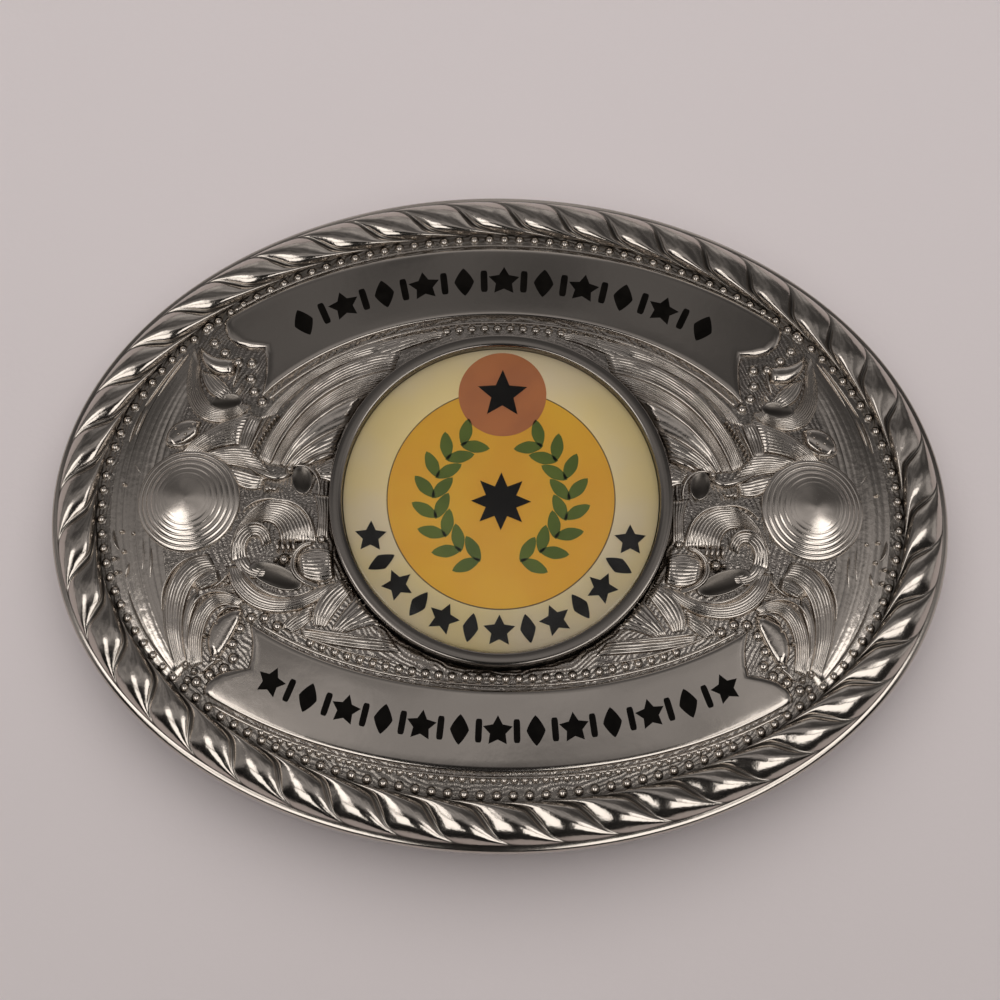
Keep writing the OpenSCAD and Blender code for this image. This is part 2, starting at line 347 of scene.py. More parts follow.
# The bowls' finish is a darker copy of the nickel: painted shade.
bowl_nickel_painted_shade = nickel("bowl_nickel_painted_shade", 0.36, 0.11, 0.12, 0.14, 0.02, 1.5)
rope_nickel = nickel("rope_nickel", 0.48, 0.06, 0.10, 0.25, 0.03, 1.0)
back_nickel = nickel("back_nickel", 0.52, 0.25, 0.30, 0.2, 0.08, 1.5, 0.03)
wire_steel = nickel("wire_steel", 0.50, 0.25, 0.26, 0.2, 0.02, 0.8, 0.01)
print("finishes so far:", len(bpy.data.materials))

# %% [markdown]
# The sheet itself is one closed shell, like a lathe's work but oval. Its rows
# run from the middle of the recess up its wall, out over the face to the
# smooth lip, round the edge and back along the underside.

# %% The arched sheet
CUP_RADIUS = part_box("bezel_cup")[1].x / MM
RECESS = CUP_RADIUS + 0.12
RECESS_DEPTH = 1.5
GROUND = HALF - LIP - ROPE_WIDTH
FLOOR_RADII = (0.5, RECESS * 0.5, RECESS)
FACE_ROWS, BACK_ROWS = 26, 20
FACE_INSET, BACK_INSET = 1.0, 0.6
# Painted shade in the recess's floor, on the ground, by the rope's foot and on the back.
FLOOR_SHADE, GROUND_SHADE, ROPE_FOOT_SHADE, BACK_SHADE = 0.3, 0.35, 0.3, 0.2
TURNS = 288
turn = round_turns(TURNS)
# Columns: inset from the rim, height over the face.
EDGE = [(0.55, -0.02), (0.3, -0.07), (0.12, -0.18), (0.02, -0.38), (0, -0.6),
        (0, -1.6), (0.05, -2.0), (0.25, -2.3), (BACK_INSET, -PLATE_THICK)]


def plate_rows():
    """Rows from the recess's floor to the lip, round it, and to the back's middle.

    The face's rows go evenly from the recess's circle to the rim's oval, and
    the back's rows are that oval, shrunk step by step.
    """
    rows, hollow = [], []
    spokes = np.array([np.cos(turn), np.sin(turn)])
    for radius in FLOOR_RADII:
        rows.append(np.column_stack([*(spokes * radius), np.full(TURNS, CROWN - RECESS_DEPTH)]))
        hollow.append(np.full(TURNS, FLOOR_SHADE))
    wall, edge = spokes * RECESS, np.array(oval(FACE_INSET, turn))
    for share in np.linspace(0, 1, FACE_ROWS):
        x, y = wall + (edge - wall) * share
        near_rope = np.clip(np.hypot(x / GROUND[0], y / GROUND[1]) * 12 - 11, 0, 1)
        rows.append(lay(x, y, 0))
        # Painted shade on the ground, more near the rope's foot, and none on the last row.
        hollow.append((GROUND_SHADE + ROPE_FOOT_SHADE * near_rope) * (share < 0.97))
    for inset, height in EDGE:
        rows.append(lay(*oval(inset, turn), height))
        hollow.append(np.zeros(TURNS))
    for share in np.linspace(0.95, 0.02, BACK_ROWS):
        rows.append(lay(*(np.array(oval(BACK_INSET, turn)) * share), -PLATE_THICK))
        hollow.append(np.full(TURNS, BACK_SHADE))
    return np.array(rows), np.array(hollow)


sheet_points, sheet_hollow = plate_rows()
plate = piece("plate_sheet", [shell(sheet_points, sheet_hollow)], stippled_nickel,
              "buckle_plate")
plate.data.materials.append(polished_nickel)
plate.data.materials.append(back_nickel)
face_end = len(FLOOR_RADII) + FACE_ROWS - 1
edge_end = face_end + len(EDGE) + 1
row_of_quad = np.repeat(np.arange(len(sheet_points) - 1), TURNS)
finish_of_quad = np.where(row_of_quad < face_end, 0, np.where(row_of_quad < edge_end, 1, 2))
finish_of_cap = np.repeat([0, 2], TURNS)
finish_of_face = np.append(finish_of_quad, finish_of_cap)
plate.data.polygons.foreach_set("material_index", finish_of_face.astype(np.int32))

# %% [markdown]
# A rope edge is a cord's look cast in metal: half a round bar with slanting
# grooves. Seen from above each groove is nearly straight over the top, and
# hooks along the bar at both feet. Between grooves a strand swells like a
# round cord. Towards the outer foot the strands are worn smoother.

# %% The rope edge
STRANDS = 46
ROPE_RISE = 1.5
LEAN, INNER_HOOK, OUTER_HOOK = 1.7, 3.4, 1.6
GROOVE_START = 1.65
GROOVE_LEVEL, STRAND_LEVEL, WORN = 0.3, 0.74, 0.6
STRAND_SKEW, STRAND_POWER = 1.15, 0.62
OUTER_FALL, INNER_FALL = 1.15, 0.6
FOOT_SINK, ROPE_ROOT = 0.12, 0.6


def rope(cuts=24, round_cuts=24):
    """Half a turn round the bar, for each place along it.

    A groove shifts along by its lean times the way across, and by its hook
    times the fifth power of that. A strand is a power of a half sine between
    two grooves, and the whole bar falls to its feet as a power of a sine,
    fuller on its inner half.
    """
    length = np.arange(STRANDS * cuts) * RIM[-1] / (STRANDS * cuts)
    length, around = np.meshgrid(length, np.linspace(0, 1, round_cuts), indexing="ij")
    over = -np.cos(np.pi * around)
    hook = np.where(over > 0, INNER_HOOK, -OUTER_HOOK)
    where = length - LEAN * over - hook * np.abs(over) ** 5 + GROOVE_START
    phase = length * STRANDS / RIM[-1] % 1
    lobe = np.sin(np.pi * phase ** STRAND_SKEW) ** STRAND_POWER
    lobe = lobe + (1 - lobe) * np.clip(1 - around * 2, 0, 1) * WORN
    swell = np.sin(np.pi * around)
    fall = swell ** np.where(around < 0.5, OUTER_FALL, INNER_FALL)
    rise = ROPE_RISE * (GROOVE_LEVEL + STRAND_LEVEL * lobe) * fall - FOOT_SINK * (1 - swell)
    x, y = oval(LIP + ROPE_WIDTH * (1 + over) / 2, rim_turn(where))
    root = lay(*oval(LIP + ROPE_WIDTH / 2, rim_turn(length[:, :1])), -ROPE_ROOT)
    # Painted shade: dark in the grooves and at both feet, and more on the outer shoulder.
    shoulder = np.clip(1 - around * 5, 0, 1) * 0.8
    dark = np.clip(1 - lobe * swell ** 0.3 + shoulder, 0, 1)
    points = np.concatenate([lay(x, y, rise), root], 1)
    return points, np.concatenate([dark, np.zeros_like(dark[:, :1])], 1)


rope_points, rope_hollow = rope()
piece("rope_edge", [shell(rope_points, rope_hollow ** 2, ring=True)], rope_nickel)

# %% [markdown]
# Beads are small domes. One dome is a grid of rings by turns, moved to each
# place in turn, and every place stands at an even pitch along a line. All the
# beads are one mesh, because the casting is one piece of metal.

# %% Beads
SKIRT = 1.3
# Painted shade on a bead's rings, from its top to the foot of its skirt.
BEAD_DARK = (0, 0, 0, 0.3, 0.9, 0.5, 1)


def beads(x, y, radius, rise, sides=10):
    """A closed dome at each place: rings by a quarter ellipse, then a skirt with painted shade."""
    angle = np.linspace(0.12, 1, 5) * np.pi / 2
    rings = np.append(np.sin(angle), [SKIRT, SKIRT]) * radius
    heights = np.append(np.cos(angle) * rise, [0.01, -0.3])
    spin = round_turns(sides)
    out_x, out_y = np.outer(rings, np.cos(spin)), np.outer(rings, np.sin(spin))
    up = heights[:, None, None] * np.array([0, 0, 1])
    dark = np.array(BEAD_DARK)[:, None]
    return [shell(lay(cx + out_x, cy + out_y, 0) + up, dark) for cx, cy in zip(x, y)]


def along(points, pitch):
    """Places at an even pitch along a line of points."""
    length = np.append(0, np.cumsum(np.hypot(*np.diff(points, axis=0).T)))
    at = np.arange(int(length[-1] / pitch) + 1) * pitch
    return np.interp(at, length, points[:, 0]), np.interp(at, length, points[:, 1])


def oval_line(half, x):
    """How far the oval of two half axes lies over the middle, at each x."""
    return half[1] * np.sqrt(1 - (x / half[0]) ** 2)


def line_of(half, reach, side, count=60):
    """Points of an oval line over or under the middle, out to a reach both ways."""
    x = np.linspace(-reach, reach, count)
    return np.column_stack([x, side * oval_line(half, x)])


BEAD_INSET, BEADS = 5.95, 140
UPPER_OUTER, UPPER_INNER = np.array([45.5, 30.8]), np.array([32.5, 22.0])
LOWER_OUTER, LOWER_INNER = np.array([46.3, 29.8]), np.array([36.2, 21.1])
# Places of the beads round the ends of the upper and the lower ribbon.
RIBBON_ENDS = np.array([
    (33.9, 21.2), (33.1, 19.1), (31.8, 17.8), (30.2, 16.6), (28.6, 16.4), (28.6, 14.5), (28.1, 12.9),
    (27.1, 11.6), (27.1, -13.3), (25.6, -13.3), (24.2, -14.2), (28.3, -14.4), (29.1, -16.1),
    (28.9, -17.7), (29.9, -18.8), (31.5, -19.4), (32.9, -20.2)])
# Columns: half axes of the line, its reach, side, pitch, radius, rise.
BEAD_LINES = [
    (UPPER_INNER - 1.5, 13.5, 1, 1.45, 0.42, 0.38),
    (LOWER_INNER - 1.3, 20.5, -1, 1.45, 0.42, 0.38),
    (LOWER_OUTER + 0.75, 25.5, -1, 1.12, 0.36, 0.36),
]
bead_x, bead_y = oval(BEAD_INSET, rim_turn(np.arange(BEADS) * RIM[-1] / BEADS))
main_row = beads(bead_x, bead_y, radius=0.46, rise=0.46)
end_row = beads(*RIBBON_ENDS.T, radius=0.52, rise=0.48)
line_rows = [bead for half, reach, side, pitch, radius, rise in BEAD_LINES
             for bead in beads(*along(line_of(half, reach, side), pitch), radius, rise)]
piece("bead_rows", main_row + both_halves(end_row) + line_rows, bead_nickel_painted_highlight)

# %% [markdown]
# The ribbons are flat, polished bands with swallow tails. Their two long sides
# are arcs of ovals, and each end runs from a notch out to a sharp tip. A fine
# raised line follows the long sides on the face round them.

# %% Ribbons
RIBBON_RISE = 0.62
NOTCH, TIP, NOTCH_SHARE = 27.2, 32.1, 0.48
END_CROWD, TAIL_BEND, TIP_POWER = 0.35, 0.35, 1.8
END_LIFT, END_SLOPE, RIBBON_ROOT = 0.55, 60, 0.4
# Columns: share of the way across, height over the face.
RIBBON_SECTION = np.array([
    (0, -0.4), (0, 0.38), (0.012, 0.52), (0.035, 0.6), (0.08, 0.62), (0.2, 0.62), (0.35, 0.62),
    (0.48, 0.62), (0.6, 0.62), (0.72, 0.62), (0.85, 0.62), (0.93, 0.62), (0.965, 0.6),
    (0.988, 0.52), (1, 0.38), (1, -0.4)])


def ribbon(side, inner, outer, cuts=97):
    """Band between two oval lines.

    A row crosses the band at a share of its reach, and rows stand closer near
    the ends. The reach grows from the notch to the tip as a power of the way
    across from the notch. The rows at both ends are lower, which rounds them.
    """
    across, rise = RIBBON_SECTION.T
    even = np.linspace(-1, 1, cuts)
    spread = np.sin(even * np.pi / 2) * END_CROWD + even * (1 - END_CROWD)
    over = np.clip((across - NOTCH_SHARE) / (1 - NOTCH_SHARE), 0, 1)
    under = np.clip((NOTCH_SHARE - across) / NOTCH_SHARE, 0, 1)
    reach = NOTCH + (TIP - NOTCH) * (1 - (1 - over) ** TIP_POWER) - TAIL_BEND * np.sin(np.pi * under)
    x = spread[:, None] * reach
    y = oval_line(inner, x)
    y = y + (oval_line(outer, x) - y) * across
    edge = np.minimum(1, (1 - np.abs(spread)) * END_SLOPE)[:, None]
    lift = np.where(rise > 0, rise * (END_LIFT + (1 - END_LIFT) * edge), rise)
    points = lay(x, side * y, lift)
    bottom = lay(x[[0, -1]], side * y[[0, -1]], -RIBBON_ROOT)
    return shell(np.concatenate([bottom[:1], points, bottom[1:]]))


def raised_line(plan, radius, rise, sides=6, taper=0.0):
    """A small oval section carried along plan points, thinner at both ends by taper."""
    way = np.gradient(plan, axis=0)
    way /= np.linalg.norm(way, axis=1)[:, None] + 1e-9
    share = np.linspace(0, 1, len(plan))
    size = (1 - taper) + taper * np.sin(np.pi * share) ** 0.6
    spin = round_turns(sides) + np.pi / sides
    out = np.cos(spin)[None] * (radius * size)[:, None]
    up = np.sin(spin)[None] * (rise * size)[:, None]
    return shell(lay(plan[:, :1] - way[:, 1:] * out, plan[:, 1:] + way[:, :1] * out, up))


ribbons = [ribbon(1, UPPER_INNER, UPPER_OUTER), ribbon(-1, LOWER_INNER, LOWER_OUTER)]
piece("ribbons", ribbons, polished_nickel)
# Columns: half axes of the line, its reach, side, radius, rise.
RIBBON_LINES = [
    (UPPER_INNER - 0.75, 26.3, 1, 0.22, 0.32),
    (LOWER_INNER - 0.55, 26.0, -1, 0.2, 0.28),
    (UPPER_OUTER + 0.5, 31.0, 1, 0.2, 0.28),
    (LOWER_OUTER + 0.5, 31.0, -1, 0.2, 0.28),
]
ribbon_lines = [raised_line(line_of(half, reach, side, 120), radius, rise)
                for half, reach, side, radius, rise in RIBBON_LINES]

# %% [markdown]
# A rosette is a low dome turned on a lathe, with fine grooves that run round
# it. Its profile is a falling power curve less a row of narrow grooves, and it
# is tipped to stand square on the arched face.

# %% Rosettes
ROSETTE_PLACE, ROSETTE_OFFSET = 34.8, 0.1
ROSETTE_RADIUS, ROSETTE_RISE = 5.9, 1.75
ROSETTE_FALL, ROSETTE_POWER = 0.85, 1.55
ROSETTE_RINGS, RING_DEPTH, RING_CROWD = 9.5, 0.085, 1.1
FOOT_LEVEL, ROSETTE_ROOT = 0.1, -1.2


def rosette():
    """Profile by radius: a dome less cubed cosines, shallow near the middle, then a foot."""
    share = np.append(np.linspace(0.02, 1, 110), [1.0, 1.0])
    dome = ROSETTE_RISE * (1 - ROSETTE_FALL * share ** ROSETTE_POWER)
    groove = (0.5 - 0.5 * np.cos(share ** RING_CROWD * 2 * np.pi * ROSETTE_RINGS)) ** 3
    height = dome - RING_DEPTH * groove * np.clip(share * 2.2 - 0.8, 0, 1)
    height[-2:] = [FOOT_LEVEL, ROSETTE_ROOT]
    spin = round_turns(96)
    radius = share[:, None] * ROSETTE_RADIUS
    points = np.stack([radius * np.cos(spin), radius * np.sin(spin), height[:, None] + 0 * spin], -1)
    tip = math.atan(2 * END_DROP * ROSETTE_PLACE / HALF[0] ** 2)
    tipped = points @ np.array(Matrix.Rotation(tip, 3, "Y").transposed())
    # Painted shade in the outer grooves.
    dark = groove * np.clip(share * 2 - 0.9, 0, 1) * 0.6
    return shell(tipped + lay(ROSETTE_PLACE, ROSETTE_OFFSET, 0), dark[:, None])


piece("rosettes", both_halves([rosette()]), rosette_nickel_painted_highlight)

# %% [markdown]
# Scroll leaves are blades between an outer and an inner edge. Each edge is a
# curve with four guide points. Across the blade the metal rises to a rolled
# outer edge and falls to the inner one, and engraved lines run along it. The
# same table serves both halves, because the left one is a mirror image.

# %% Blades with engraved lines
LINE_CUT, LINE_POWER = 1.3, 0.7
START_SWELL, END_SWELL, SWELL_POWER = 8, 5, 0.7
ROLL_POWER, ROLL_WIDTH, SOFT_POWER = 0.8, 0.12, 1.6
MARGIN_SLOPE, BLADE_ROOT = 12, 0.5


def curve(guides, share):
    """Cubic curve of four guide points, at an array of shares."""
    p = np.asarray(guides, float)
    s = share[:, None]
    return (1 - s) ** 3 * p[0] + 3 * (1 - s) ** 2 * s * p[1] + 3 * (1 - s) * s ** 2 * p[2] + s ** 3 * p[3]


def blade(outer, inner, rise, lines, depth, roll=0.5, steps=28):
    """Ruled surface between two curves, raised across and grooved along.

    The section across is a mix of a rolled edge, by the share roll, and a half
    circle. A roll below 0 gives a soft sine instead. The blade swells from both
    ends. Lines are half sines side by side, cut deepest where they meet, and
    they fade out at both margins.
    """
    share = np.linspace(0, 1, steps)
    across = np.linspace(0, 1, max(13, lines * 6 + 5))
    a, b = curve(inner, share)[:, None], curve(outer, share)[:, None]
    plan = a + (b - a) * across[None, :, None]
    swell = np.minimum(share * START_SWELL, (1 - share) * END_SWELL) + 0.05
    swell = np.clip(swell, 0, 1) ** SWELL_POWER
    rolled = across ** ROLL_POWER * np.clip((1 - across) / ROLL_WIDTH, 0, 1) ** 0.5
    domed = np.sqrt(np.clip(1 - (2 * across - 1) ** 2, 0, 1))
    soft = np.sin(np.pi * across) ** SOFT_POWER
    section = roll * rolled + (1 - roll) * domed if roll >= 0 else soft
    wave = np.sin(np.pi * (across * lines % 1)) ** LINE_POWER if lines else np.ones_like(across)
    wander = 0.75 + 0.25 * np.sin(share * 9 + plan[:, 0, 0])
    fade = np.minimum(1, np.minimum(across, 1 - across) * MARGIN_SLOPE + 0.15)
    cut = (1 - wave)[None] * wander[:, None] * fade[None]
    height = (rise * section[None] - LINE_CUT * depth * cut) * swell[:, None]
    top = lay(plan[..., 0], plan[..., 1], height)
    sunk = np.array([0, 0, BLADE_ROOT])
    # Painted shade: darker in the engraved lines and where the section is low, full on the sunk edges.
    dark = np.clip(cut * 0.9 + (1 - section[None]) * 0.25, 0, 1)
    full = np.ones_like(dark[:, :1])
    points = np.concatenate([top[:, :1] - sunk, top, top[:, -1:] - sunk], 1)
    return shell(points, np.concatenate([full, dark, full], 1))


# Columns: outer guides, inner guides, rise, lines, depth of lines, roll.
UPPER = [
    ([(11.5, 17.9), (20.2, 16.8), (25.0, 11.4), (27.3, 4.6)],
     [(12.2, 15.4), (19.6, 14.2), (23.8, 9.8), (25.9, 4.0)], 0.75, 7, 0.16, 0.25),
    ([(13.0, 19.3), (20.6, 17.1), (24.6, 13.2), (27.5, 9.4)],
     [(13.4, 17.4), (20.4, 15.8), (23.6, 12.9), (25.6, 9.9)], 0.5, 6, 0.12, 0.2),
    ([(12.1, 15.5), (19.6, 14.2), (23.7, 9.7), (25.8, 3.9)],
     [(15.1, 12.3), (19.4, 10.8), (23.0, 7.6), (24.6, 3.8)], 0.8, 10, 0.15, 0.55),
    ([(15.0, 12.5), (19.7, 10.9), (23.1, 7.7), (24.5, 3.8)],
     [(17.6, 8.4), (20.2, 7.5), (22.6, 5.6), (24.0, 3.7)], 0.85, 3, 0.05, 0.85),
    ([(17.5, 8.5), (20.4, 7.4), (22.7, 5.6), (24.0, 3.6)],
     [(18.7, 5.3), (20.0, 5.1), (21.4, 4.4), (22.6, 3.7)], 0.8, 5, 0.12, 0.6),
    ([(18.4, 4.9), (19.4, 4.9), (20.4, 4.0), (21.0, 3.2)],
     [(18.7, 1.8), (19.0, 2.0), (19.6, 2.2), (20.3, 2.4)], 0.5, 6, 0.1, 0.2),
    ([(27.9, 6.1), (29.6, 6.7), (31.8, 6.5), (33.8, 5.3)],
     [(25.4, 2.7), (27.4, 3.1), (29.0, 4.1), (31.8, 4.2)], 0.75, 9, 0.13, 0.2),
    ([(26.0, 2.6), (27.8, 2.9), (29.4, 3.8), (31.2, 3.9)],
     [(26.6, 1.3), (27.6, 0.9), (28.6, 1.1), (29.6, 1.9)], 0.7, 5, 0.13, 0.4),
    ([(28.1, 10.4), (31.5, 10.0), (34.2, 8.1), (36.5, 5.4)],
     [(29.3, 6.5), (31.0, 6.4), (32.4, 6.2), (33.9, 5.3)], 0.85, 10, 0.12, 0.25),
    ([(28.3, 10.1), (29.8, 9.0), (29.9, 7.0), (29.3, 5.4)],
     [(26.9, 9.7), (27.3, 8.4), (27.9, 6.6), (28.5, 5.2)], 0.6, 6, 0.12, 0.1),
    ([(28.3, 11.2), (30.0, 7.7), (38.4, 7.7), (35.4, 18.6)],
     [(29.5, 11.6), (31.0, 10.1), (34.4, 10.5), (34.6, 16.6)], 0.8, 9, 0.13, 0.1),
    ([(34.5, 15.9), (34.2, 13.6), (33.3, 12.1), (31.4, 11.9)],
     [(33.2, 15.3), (32.2, 14.8), (31.2, 14.0), (30.6, 12.9)], 0.6, 5, 0.12, 0.3),
    ([(30.3, 16.9), (32.2, 17.2), (33.6, 17.2), (34.5, 18.7)],
     [(30.4, 15.0), (32.2, 14.5), (34.0, 15.1), (34.9, 18.0)], 1.0, 0, 0, 0.0),
    ([(35.0, 20.0), (46.7, 10.5), (46.9, -10.5), (35.3, -20.4)],
     [(34.4, 14.8), (39.0, 5.0), (39.0, -5.0), (33.8, -18.2)], 0.34, 8, 0.03, -1),
    ([(34.0, 9.4), (35.8, 10.4), (38.6, 9.2), (37.8, 6.6)],
     [(34.2, 7.9), (34.9, 7.0), (36.0, 6.4), (37.2, 6.3)], 0.75, 0, 0, 0.0),
    ([(6.5, 20.2), (10.0, 19.9), (14.0, 19.0), (17.0, 17.6)],
     [(6.9, 19.3), (9.8, 18.4), (12.0, 17.4), (14.5, 16.4)], 0.45, 4, 0.1, 0.2),
]
LOWER = [
    ([(20.3, -5.0), (19.7, 0.9), (28.4, 2.7), (29.9, -5.4)],
     [(24.3, -5.0), (24.3, -2.6), (26.0, -1.8), (28.6, -3.4)], 0.85, 11, 0.13, 0.35),
    ([(25.2, -4.9), (25.3, -1.7), (30.6, -2.3), (29.6, -7.2)],
     [(26.3, -5.4), (26.5, -3.5), (28.5, -4.0), (27.8, -6.9)], 1.05, 4, 0.13, 0.5),
    ([(29.4, -6.4), (29.4, -8.2), (27.6, -9.4), (25.8, -8.9)],
     [(27.9, -6.2), (27.6, -7.4), (26.6, -7.8), (25.6, -7.8)], 0.45, 5, 0.1, 0.2),
    ([(30.2, -7.4), (29.7, -13.2), (22.0, -15.4), (17.2, -9.0)],
     [(28.5, -7.4), (27.2, -10.8), (23.0, -12.0), (20.0, -9.8)], 0.9, 7, 0.14, 0.2),
    ([(18.3, -6.0), (19.4, -5.3), (21.5, -5.3), (22.4, -6.6)],
     [(18.0, -8.9), (19.0, -9.7), (20.8, -9.7), (22.2, -8.4)], 0.85, 9, 0.1, 0.0),
    ([(20.4, -4.7), (24.2, -5.2), (24.2, -9.9), (19.4, -10.2)],
     [(20.6, -5.3), (23.1, -5.9), (23.0, -9.1), (19.6, -9.5)], 0.8, 2, 0.12, 0.4),
    ([(32.2, -6.0), (36.7, -5.9), (38.9, -11.2), (35.2, -19.0)],
     [(31.2, -7.9), (34.4, -8.6), (35.4, -12.2), (34.1, -18.0)], 0.85, 8, 0.12, 0.2),
    ([(31.0, -7.9), (32.2, -7.6), (33.4, -8.6), (33.9, -9.8)],
     [(30.7, -9.2), (31.4, -9.8), (32.2, -10.1), (33.2, -10.2)], 0.75, 5, 0.1, 0.1),
    ([(33.2, -10.0), (34.8, -11.0), (35.4, -14.0), (34.0, -18.4)],
     [(33.0, -11.4), (33.9, -13.0), (34.2, -15.4), (33.4, -18.2)], 0.6, 4, 0.04, 0.1),
    ([(27.8, -11.6), (31.6, -8.3), (35.4, -12.2), (33.6, -18.8)],
     [(28.7, -12.3), (31.2, -10.9), (32.8, -13.8), (32.3, -18.2)], 0.9, 7, 0.12, 0.2),
    ([(28.0, -12.3), (30.8, -11.9), (33.1, -14.7), (31.2, -17.9)],
     [(28.1, -13.3), (28.7, -14.8), (29.5, -16.7), (30.8, -17.9)], 0.85, 0, 0, 0.0),
    ([(17.0, -9.0), (19.4, -9.9), (20.9, -12.0), (20.2, -14.2)],
     [(16.0, -10.4), (17.3, -12.0), (18.1, -13.2), (18.9, -14.4)], 0.65, 6, 0.13, 0.3),
    ([(20.3, -11.9), (22.0, -12.4), (23.8, -13.4), (23.6, -14.6)],
     [(20.5, -13.6), (21.2, -14.4), (22.0, -14.9), (22.8, -15.0)], 0.5, 6, 0.12, 0.2),
    ([(15.6, -10.8), (17.2, -12.6), (18.0, -13.8), (18.4, -15.0)],
     [(12.8, -14.2), (14.2, -14.2), (15.6, -14.6), (17.2, -15.2)], 0.5, 6, 0.12, 0.4),
    ([(11.6, -15.7), (15.0, -15.1), (19.0, -15.0), (21.6, -14.5)],
     [(10.4, -17.2), (14.0, -17.0), (18.0, -16.6), (21.4, -15.5)], 0.5, 4, 0.13, 0.2),
    ([(20.9, 0.7), (20.0, -1.0), (20.2, -2.6), (20.3, -4.3)],
     [(18.9, 0.3), (18.9, -1.4), (18.9, -3.0), (18.9, -4.7)], 0.5, 5, 0.1, 0.2),
    ([(28.6, -8.6), (29.4, -9.6), (30.8, -9.8), (31.6, -10.2)],
     [(28.0, -10.4), (28.8, -10.8), (29.8, -10.4), (30.8, -10.4)], 0.4, 4, 0.1, 0.2),
]
for name, table in (("upper_leaves", UPPER), ("lower_leaves", LOWER)):
    leaf_shells = [blade(*row) for row in table]
    piece(name, both_halves(leaf_shells), cast_nickel)

# %% [markdown]
# Ridges and knobs finish the scrolls: thin raised lines that part the leaves,
# a beaded rib, ragged knuckles under the curls and a few small buds. A ridge
# is a lean rounded bar along a curve.

# %% Ridges, ribs and buds
# Columns: guides, radius, rise.
RIDGES = [
    ([(12.2, 15.4), (19.6, 14.2), (23.8, 9.8), (25.9, 4.0)], 0.2, 0.95),
    ([(15.1, 12.4), (19.6, 10.8), (23.0, 7.6), (24.6, 3.8)], 0.24, 1.0),
    ([(17.6, 8.4), (20.3, 7.4), (22.6, 5.7), (24.0, 3.7)], 0.2, 0.9),
    ([(18.5, 5.1), (19.6, 5.0), (20.8, 4.4), (21.8, 3.8)], 0.34, 0.95),
    ([(26.2, 9.9), (27.0, 8.4), (27.8, 6.6), (28.4, 5.2)], 0.14, 0.8),
    ([(30.1, 16.7), (30.0, 15.6), (30.3, 14.6), (30.6, 13.6)], 0.18, 0.7),
    ([(29.5, 13.9), (29.8, 13.3), (30.0, 12.9), (30.4, 12.5)], 0.16, 0.6),
    ([(23.3, 3.4), (24.0, 1.6), (26.0, 2.2), (28.6, 4.1)], 0.36, 1.2),
    ([(20.2, 0.4), (19.8, 2.4), (21.2, 4.4), (23.6, 3.7)], 0.2, 0.7),
    ([(24.6, 1.4), (25.2, 0.8), (26.0, 1.2), (26.4, 1.9)], 0.26, 0.85),
    ([(35.9, 18.0), (37.4, 15.9), (38.4, 14.2), (39.3, 12.5)], 0.13, 0.5),
    ([(36.6, 17.7), (38.4, 15.2), (39.6, 13.4), (40.7, 11.5)], 0.12, 0.45),
    ([(40.3, 11.3), (40.8, 10.2), (41.2, 9.0), (41.5, 8.0)], 0.12, 0.45),
    ([(41.0, 11.0), (41.6, 9.6), (42.0, 8.4), (42.2, 7.2)], 0.1, 0.4),
    ([(40.4, 3.4), (40.8, 3.7), (41.0, 4.1), (41.3, 4.5)], 0.12, 0.5),
    ([(34.1, 7.6), (35.2, 6.2), (37.6, 6.0), (38.1, 7.6)], 0.16, 0.7),
    ([(20.7, -4.6), (20.2, 0.5), (27.6, 2.0), (29.5, -4.6)], 0.2, 0.95),
    ([(21.5, -3.4), (21.9, 0.2), (27.0, 1.0), (28.6, -1.4)], 0.14, 0.9),
    ([(25.4, -4.5), (25.7, -1.9), (29.4, -2.4), (29.5, -6.0)], 0.2, 1.1),
    ([(20.3, -10.1), (23.2, -12.2), (26.8, -10.8), (28.6, -7.4)], 0.26, 1.0),
    ([(18.2, -9.9), (22.0, -13.6), (27.6, -12.9), (30.1, -8.0)], 0.16, 0.85),
    ([(29.7, -7.7), (30.0, -8.8), (30.6, -9.6), (31.8, -10.0)], 0.18, 0.8),
    ([(28.0, -11.6), (31.6, -8.8), (34.6, -11.2), (34.0, -14.6)], 0.17, 0.95),
    ([(32.4, -6.2), (36.2, -6.2), (37.6, -9.6), (37.1, -12.4)], 0.17, 0.9),
    ([(31.6, -7.6), (33.8, -8.2), (35.0, -9.8), (35.7, -12.2)], 0.13, 0.9),
    ([(28.2, -12.2), (29.4, -11.8), (30.5, -12.3), (30.9, -13.2)], 0.26, 0.95),
    ([(30.1, -17.9), (31.0, -17.5), (31.6, -18.9), (32.6, -19.3)], 0.24, 0.8),
    ([(41.2, -6.8), (41.3, -7.3), (41.4, -7.9), (41.5, -8.5)], 0.18, 0.6),
    ([(38.9, -5.0), (38.7, -6.0), (38.6, -7.4), (38.7, -8.8)], 0.2, 0.55),
    ([(39.8, -3.8), (39.6, -5.2), (39.5, -6.8), (39.7, -8.4)], 0.16, 0.5),
    ([(43.3, -3.0), (43.3, -4.0), (43.1, -4.8), (42.4, -5.4)], 0.16, 0.45),
    ([(41.2, -9.8), (40.2, -13.4), (38.0, -16.8), (34.9, -19.7)], 0.14, 0.5),
    ([(11.0, -18.0), (15.0, -17.7), (19.2, -16.3), (23.0, -14.6)], 0.14, 0.45),
    ([(12.4, -15.7), (15.2, -15.3), (18.6, -15.1), (21.4, -14.4)], 0.2, 0.7),
]
KNUCKLES = (22.7, 23.3, 23.9, 24.5)
along_ridge = np.linspace(0, 1, 28)
ridge_shells = [raised_line(curve(guides, along_ridge), radius, rise, sides=8, taper=0.75)
                for guides, radius, rise in RIDGES]
for x in KNUCKLES:
    bend = curve([(x - 0.1, -4.6), (x + 0.25, -5.1), (x - 0.2, -5.6), (x, -6.1)], along_ridge)
    ridge_shells.append(raised_line(bend, 0.24, 1.0, sides=8, taper=0.6))
